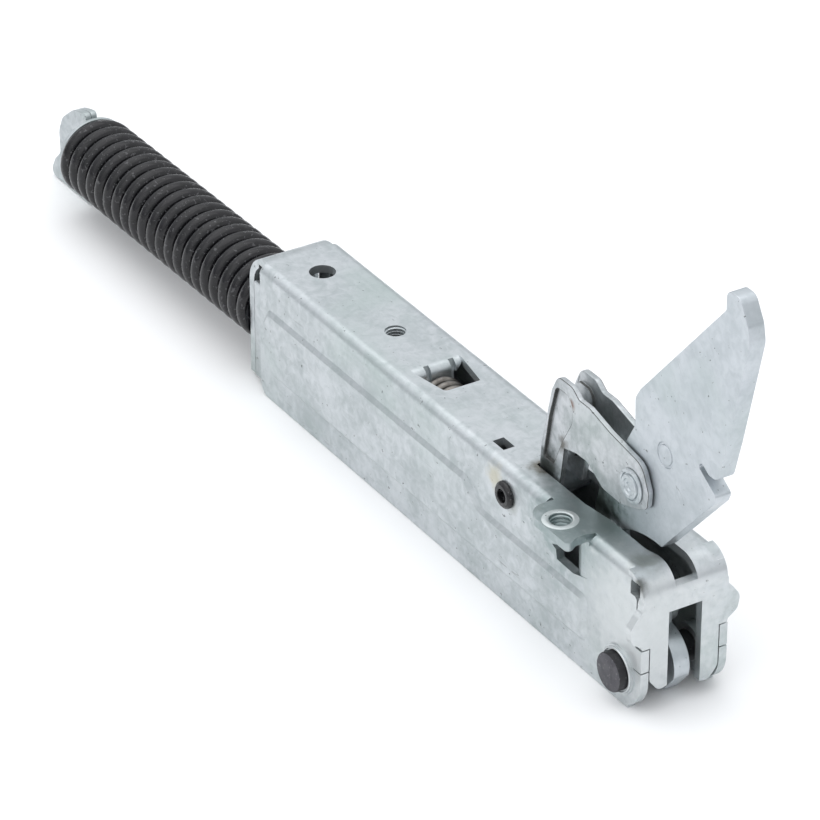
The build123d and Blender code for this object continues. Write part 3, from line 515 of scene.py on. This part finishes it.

# ---------------------------------------------------------------- ear collar
# The ear's thread opens in a low collar, which is drawn up with the hole when
# it is pierced. It takes a paler copy of the plating, a painted highlight on its rim.
collar_zinc_painted_highlight = plated(
    "zinc_drawn_collar_painted_highlight", (0.66, 0.70, 0.70, 1), (0.56, 0.61, 0.61, 1), (0.52, 0.60, 0.585, 1), 200.0,
    (300.0, 300.0, 300.0), (0, 0, 0), 0.8, 0.42)
EAR_X, EAR_Y = THREADS["ear_thread_turns"]
EAR_COLLAR_SUNK = -0.3 * MM
ear_collar = turned(
    "ear_collar", (EAR_X, EAR_Y, 0), "Z",
    [(2.62 * MM, EAR_COLLAR_SUNK), (2.66 * MM, 0.03 * MM), (2.85 * MM, 0.11 * MM), (3.2 * MM, 0.14 * MM),
     (3.7 * MM, 0.08 * MM), (4.1 * MM, -0.01 * MM), (4.2 * MM, EAR_COLLAR_SUNK),
     (2.62 * MM, EAR_COLLAR_SUNK)], ring=True)
ear_collar.data.materials.append(collar_zinc_painted_highlight)
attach(ear_collar, "housing")

# ---------------------------------------------------------------- cross pin
# Tubular rivet of blackened steel across the housing, rolled over both walls,
# with the guide roller of the tie straps turning on it inside.
RIVET_DARK = (0.004, 0.004, 0.005, 1)
RIVET_WORN = (0.035, 0.035, 0.035, 1)
PIN_EDGE = 0.2 * MM
ROLLER_EDGE = 0.25 * MM
rivet_black = dark_steel("blackened_rivet", RIVET_DARK, RIVET_WORN, 500.0, 0.20, 0.1, 0.3)
cross_pin = finished_copy("cross_pin", "cross_rivet", PIN_EDGE)
cross_pin.data.materials.append(rivet_black)
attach(cross_pin, "housing")
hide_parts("cross_pin")

turned_zinc = plated(
    "zinc_turned", (0.62, 0.66, 0.68, 1), (0.40, 0.44, 0.46, 1), (0.50, 0.56, 0.55, 1), 260.0,
    (500.0, 60.0, 500.0), (0, 0, 0), 0.9, 0.34)
roller = finished_copy("guide_roller", "roller_turned", ROLLER_EDGE)
roller.data.materials.append(turned_zinc)
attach(roller, "roller")
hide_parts("guide_roller")

# ---------------------------------------------------------------- lever
# Hooked lever, blanked from 4 mm plate and plated, with the press's roll-over
# along its rim. The link pin joins it to the straps, the rivet to the catch.
# Painted shade on the lever's face near the slot, where the catch's cheek shades it: centre, reach, tint and
# strength
LEVER_PAINTED_SHADE = [
    ((0.0880, -0.0020, 0.0040), 0.0130, PAINTED_SHADE_GREEN, 0.70),
    ((0.0855, -0.0020, 0.0000), 0.0105, PAINTED_SHADE_DARK, 0.97),
]
LEVER_EDGE = 0.17 * MM
lever_zinc = plated(
    "zinc_plated_lever", (0.565, 0.600, 0.630, 1), (0.475, 0.515, 0.540, 1), (0.455, 0.515, 0.52, 1), 110.0,
    (700.0, 700.0, 30.0), (0, 0.6, 0), 0.86, 0.36, stains_and_shade=LEVER_PAINTED_SHADE)
lever = finished_copy("lever_arm", "hooked_lever", LEVER_EDGE)
lever.data.materials.append(lever_zinc)
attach(lever, "lever")
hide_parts("lever_arm")

link_pin = finished_copy("link_pin", "link_pin_turned", PIN_EDGE)
link_pin.data.materials.append(turned_zinc)
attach(link_pin, "lever")
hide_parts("link_pin")

# ---------------------------------------------------------------- catch
# Safety catch, a U pressed from 1.4 mm sheet with a stiffening panel in each
# cheek. It swings on a stepped rivet through the lever.
# Spots on the catch: centre, reach, tint and strength. The first and the last are painted shade on the lower
# cheek near the slot; the middle two are a brown mark and a rust spot.
CATCH_STAINS_AND_SHADE = [
    ((0.0685, -0.0037, 0.0015), 0.0060, PAINTED_SHADE_DARK, 0.95),
    ((0.0740, -0.0037, 0.0095), 0.0028, (0.08, 0.07, 0.05, 1), 0.8),
    ((0.0775, -0.0037, 0.0210), 0.0016, (0.16, 0.07, 0.04, 1), 0.8),
    ((0.0860, -0.0037, 0.0080), 0.0060, PAINTED_SHADE_GREEN, 0.5),
]
catch_zinc = plated(
    "zinc_plated_catch", (0.58, 0.60, 0.62, 1), (0.37, 0.40, 0.41, 1), (0.38, 0.44, 0.425, 1), 140.0,
    (700.0, 700.0, 40.0), (0, 0.2, 0), 0.86, 0.34, stains_and_shade=CATCH_STAINS_AND_SHADE)
CATCH_EDGE = 0.22 * MM
CREASE_FROM = 3.12 * MM
CREASE_TO = 3.62 * MM
INNER_CREASE_FROM = 1.68 * MM
INNER_CREASE_TO = 2.18 * MM
SMALL_FACE = 2.0 * MM * MM
NEAR_OUTLINE = 0.75 * MM
RIVET_X = 0.1004
RIVET_Z = 0.0130
PANEL_CORNERS = [(-29.0, 9.4), (-23.4, 9.4), (-22.6, 4.0), (-26.6, -3.0), (-29.6, -10.0), (-33.4, -10.0),
                 (-31.4, 1.0)]
# Painted shade, with some grime, for the creases round the catch's pressed panels
SHADE_AND_GRIME_DARK = (0.05, 0.052, 0.05, 1)
SHADE_AND_GRIME_PALE = (0.12, 0.125, 0.12, 1)
crease_shade_and_grime = dark_steel("painted_shade_and_grime_in_crease", SHADE_AND_GRIME_DARK, SHADE_AND_GRIME_PALE, 600.0, 0.5, 0.4, 0.2)
catch = finished_copy("latch_bail", "catch_bail", CATCH_EDGE)
catch.data.materials.append(catch_zinc)
catch.data.materials.append(crease_shade_and_grime)
panel_outline = [Vector((RIVET_X + x * MM, 0, RIVET_Z + z * MM)) for x, z in PANEL_CORNERS]
# The step walls of the pressed panels and the rounding along the panel's outline take the dark crease
# material: painted shade, with some grime
for face in catch.data.polygons:
    outer_step = CREASE_FROM < abs(face.center.y) < CREASE_TO
    inner_step = INNER_CREASE_FROM < abs(face.center.y) < INNER_CREASE_TO
    spot = Vector((face.center.x, 0, face.center.z))
    gaps = []
    for start, end in zip(panel_outline, panel_outline[1:] + panel_outline[:1]):
        nearest, along = intersect_point_line(spot, start, end)
        if not 0 <= along <= 1:
            nearest = min((start, end), key=lambda corner: (corner - spot).length)
        gaps.append((nearest - spot).length)
    outside = abs(face.center.y) > 3.0 * MM
    rounding_face = outside and face.area < SMALL_FACE and min(gaps) < NEAR_OUTLINE
    if rounding_face or ((outer_step or inner_step) and abs(face.normal.y) < 0.75):
        face.material_index = 1
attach(catch, "catch")
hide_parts("latch_bail")

RIVET_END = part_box("latch_rivet")[1][1]
near_half = [(0.7, 0.75), (0.95, 0.70), (1.15, 0.32), (1.75, 0.30), (1.95, 0.02), (2.55, 0.0), (2.75, 0.12),
             (2.85, 0.62), (3.1, 0.66), (3.2, 0.42), (3.7, 0.44), (4.0, 0.64), (4.0, 0.9), (2.0, 0.9)]
catch_rivet = turned(
    "catch_rivet_turned", (RIVET_X, 0, RIVET_Z), "Y",
    [(radius * MM, depth * MM - RIVET_END) for radius, depth in near_half]
    + [(radius * MM, RIVET_END - depth * MM) for radius, depth in reversed(near_half)])
catch_rivet.data.materials.append(turned_zinc)
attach(catch_rivet, "lever")
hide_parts("latch_rivet")

# ---------------------------------------------------------------- straps
# Two straps of 1.55 mm plated sheet, riveted together back to back. Behind
# the spring they end in a fishtail, and they carry its washer and the stop.
strap_zinc = plated(
    "zinc_plated_strap", (0.57, 0.60, 0.615, 1), (0.42, 0.455, 0.47, 1), (0.43, 0.49, 0.475, 1), 90.0,
    (30.0, 700.0, 700.0), (0, 0, 0), 0.75, 0.46)
STRAP_EDGE = 0.13 * MM
WASHER_EDGE = 0.15 * MM
FLUSH_EDGE = 0.1 * MM
STRAP_PIECES = {
    "tie_strap_near": ("strap_near", STRAP_EDGE),
    "tie_strap_far": ("strap_far", STRAP_EDGE),
    "spring_cup": ("spring_washer", WASHER_EDGE),
    "spring_stop": ("stop_plate", WASHER_EDGE),
}
for source, (name, edge) in STRAP_PIECES.items():
    strap = finished_copy(source, name, edge)
    strap.data.materials.append(strap_zinc)
    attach(strap, "tie")
    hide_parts(source)

strap_rivets = finished_copy("strap_rivets", "strap_rivets_flush", FLUSH_EDGE)
strap_rivets.data.materials.append(turned_zinc)
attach(strap_rivets, "tie")
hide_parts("strap_rivets")

# ---------------------------------------------------------------- outer spring
# Compression spring of 3.9 mm black wire behind the housing, its end turns
# ground flat. It gets shorter as the lever opens and draws the straps in.
SPRING_WIRE = 3.9 * MM
SPRING_DIAMETER = 20.7 * MM
SPRING_PITCH = 4.4 * MM
SPRING_TURNS = 20
GROUND_TURNS = 2
ROD_TILT = math.radians(1.0)
ROD_HINGE = (-0.0509, 0.0, -0.0179)
SPRING_FRONT = -0.0514
SPRING_REAR = SPRING_FRONT - SPRING_TURNS * SPRING_PITCH - SPRING_WIRE
GROUND_DEPTH = 0.03 * MM
SPRING_DARK = (0.003, 0.003, 0.004, 1)
SPRING_WORN = (0.013, 0.012, 0.015, 1)


def ground_flat(coil, rear, front):
    """Cut both ends of a coil along X flat, and close them."""
    bpy.ops.object.mode_set(mode="EDIT")
    for place, outward in ((rear + GROUND_DEPTH, -1), (front - GROUND_DEPTH, 1)):
        bpy.ops.mesh.select_all(action="SELECT")
        bpy.ops.mesh.bisect(plane_co=(place, 0, 0), plane_no=(outward, 0, 0), use_fill=True, clear_outer=True)
    bpy.ops.mesh.select_all(action="SELECT")
    bpy.ops.mesh.remove_doubles(threshold=0.000001)
    bpy.ops.mesh.delete_loose()
    bpy.ops.mesh.select_all(action="SELECT")
    bpy.ops.mesh.normals_make_consistent(inside=False)
    bpy.ops.object.mode_set(mode="OBJECT")
    bpy.ops.object.shade_smooth_by_angle(angle=math.radians(40))


# The wire's pale flecks are partly dust and partly painted glints
spring_black = dark_steel("black_spring_wire", SPRING_DARK, SPRING_WORN, 420.0, 0.20, 0.0, 0.28)
spring_black.node_tree.nodes["Principled BSDF"].inputs["Specular IOR Level"].default_value = 0.42
spring = coiled(
    "outer_spring_wire", (SPRING_REAR + SPRING_WIRE / 2 - SPRING_PITCH, 0, ROD_HINGE[2]), "X",
    (0, 0, (SPRING_DIAMETER - SPRING_WIRE) / 2), SPRING_WIRE / 2, SPRING_TURNS + GROUND_TURNS, SPRING_PITCH,
    44, 16)
ground_flat(spring, SPRING_REAR, SPRING_FRONT)
bpy.ops.object.mode_set(mode="EDIT")
bpy.ops.mesh.select_all(action="SELECT")
bpy.ops.transform.rotate(value=ROD_TILT, orient_axis="Y", center_override=ROD_HINGE)
bpy.ops.object.mode_set(mode="OBJECT")
spring.data.materials.append(spring_black)
spring.select_set(False)
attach(spring, "housing")
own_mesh(spring)
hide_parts("outer_spring")

# ---------------------------------------------------------------- inner spring
# Small spring of bare wire under the web, between the window's bent tab and
# the stop plate on the straps. It opens out as the lever opens.
INNER_WIRE = 1.9 * MM
INNER_DIAMETER = 10.4 * MM
INNER_TURNS = 12
INNER_REAR = 0.0188
INNER_FRONT = 0.0482
INNER_HEIGHT = -0.0075
INNER_PITCH = (INNER_FRONT - INNER_REAR - INNER_WIRE) / INNER_TURNS
BARE_DARK = (0.13, 0.12, 0.11, 1)
BARE_BRIGHT = (0.34, 0.32, 0.29, 1)
bare_wire = dark_steel("bare_spring_wire", BARE_DARK, BARE_BRIGHT, 500.0, 0.34, 0.8)
inner = coiled(
    "inner_spring_wire", (INNER_REAR + INNER_WIRE / 2 - INNER_PITCH, 0, INNER_HEIGHT), "X",
    (0, 0, (INNER_DIAMETER - INNER_WIRE) / 2), INNER_WIRE / 2, INNER_TURNS + GROUND_TURNS, INNER_PITCH,
    32, 12)
ground_flat(inner, INNER_REAR, INNER_FRONT)
inner.data.materials.append(bare_wire)
inner.select_set(False)
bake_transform(inner)
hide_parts("inner_spring")

# ---------------------------------------------------------------- floor
# A plain pale table under the hinge, which lies on its walls' lower edges.
FLOOR_HEIGHT = -0.0341
TABLE_PALE = (0.97, 0.97, 0.97, 1)
bpy.ops.mesh.primitive_plane_add(size=8, location=(0, 0, FLOOR_HEIGHT))
floor = bpy.context.object
floor.name = "table_top"
pale = bpy.data.materials.new("pale_table")
pale.use_nodes = True
table_surface = pale.node_tree.nodes["Principled BSDF"]
table_surface.inputs["Base Color"].default_value = TABLE_PALE
table_surface.inputs["Roughness"].default_value = 0.9
floor.data.materials.append(pale)
floor.select_set(False)

# ---------------------------------------------------------------- light
# Even studio light: a white surround, a broad softbox overhead and a weaker
# one from the near side.
SURROUND_LOW = (0.40, 0.42, 0.44, 1)
SURROUND_HIGH = (1.06, 1.08, 1.11, 1)
# Place, size and power of each lamp, which faces the hinge
SOFTBOXES = {
    "overhead_softbox": ((-0.25, -0.15, 1.3), 1.6, 6.5),
    "near_side_softbox": ((0.35, -1.2, 0.6), 1.2, 2.0),
}
world = bpy.data.worlds.new("studio")
bpy.context.scene.world = world
world.use_nodes = True
surround = world.node_tree
sky = node(surround, "ShaderNodeTexCoord").outputs["Generated"]
direction = node(surround, "ShaderNodeSeparateXYZ", {"Vector": sky})
height_share = band(surround, direction.outputs["Z"], 0.02, 0.62)
backdrop = node(surround, "ShaderNodeMix", {"Factor": height_share, "A": SURROUND_LOW, "B": SURROUND_HIGH},
                data_type="RGBA")
surround.links.new(backdrop.outputs[2], surround.nodes["Background"].inputs["Color"])
for name, (place, size, power) in SOFTBOXES.items():
    lamp = bpy.data.lights.new(name, "AREA")
    lamp.size = size
    lamp.energy = power
    holder = bpy.data.objects.new(name, lamp)
    bpy.context.scene.collection.objects.link(holder)
    holder.visible_camera = False
    holder.location = place
    holder.rotation_euler = (-Vector(place)).to_track_quat("-Z", "Y").to_euler()

# ---------------------------------------------------------------- camera
# Long lens from the front and the near side, 31 degrees above the table.
CAMERA_PLACE = (0.7854, -0.4816, 0.5314)
CAMERA_AIM = (0.0063, 0.0, -0.01766)
FOCAL_LENGTH = 206.34
SENSOR_WIDTH = 36
lens = bpy.data.cameras.new("camera")
lens.lens = FOCAL_LENGTH
lens.sensor_width = SENSOR_WIDTH
camera = bpy.data.objects.new("camera", lens)
bpy.context.scene.collection.objects.link(camera)
camera.location = CAMERA_PLACE
camera.rotation_euler = (Vector(CAMERA_AIM) - Vector(CAMERA_PLACE)).to_track_quat("-Z", "Y").to_euler()
bpy.context.scene.camera = camera
bpy.context.scene.view_settings.view_transform = "Standard"
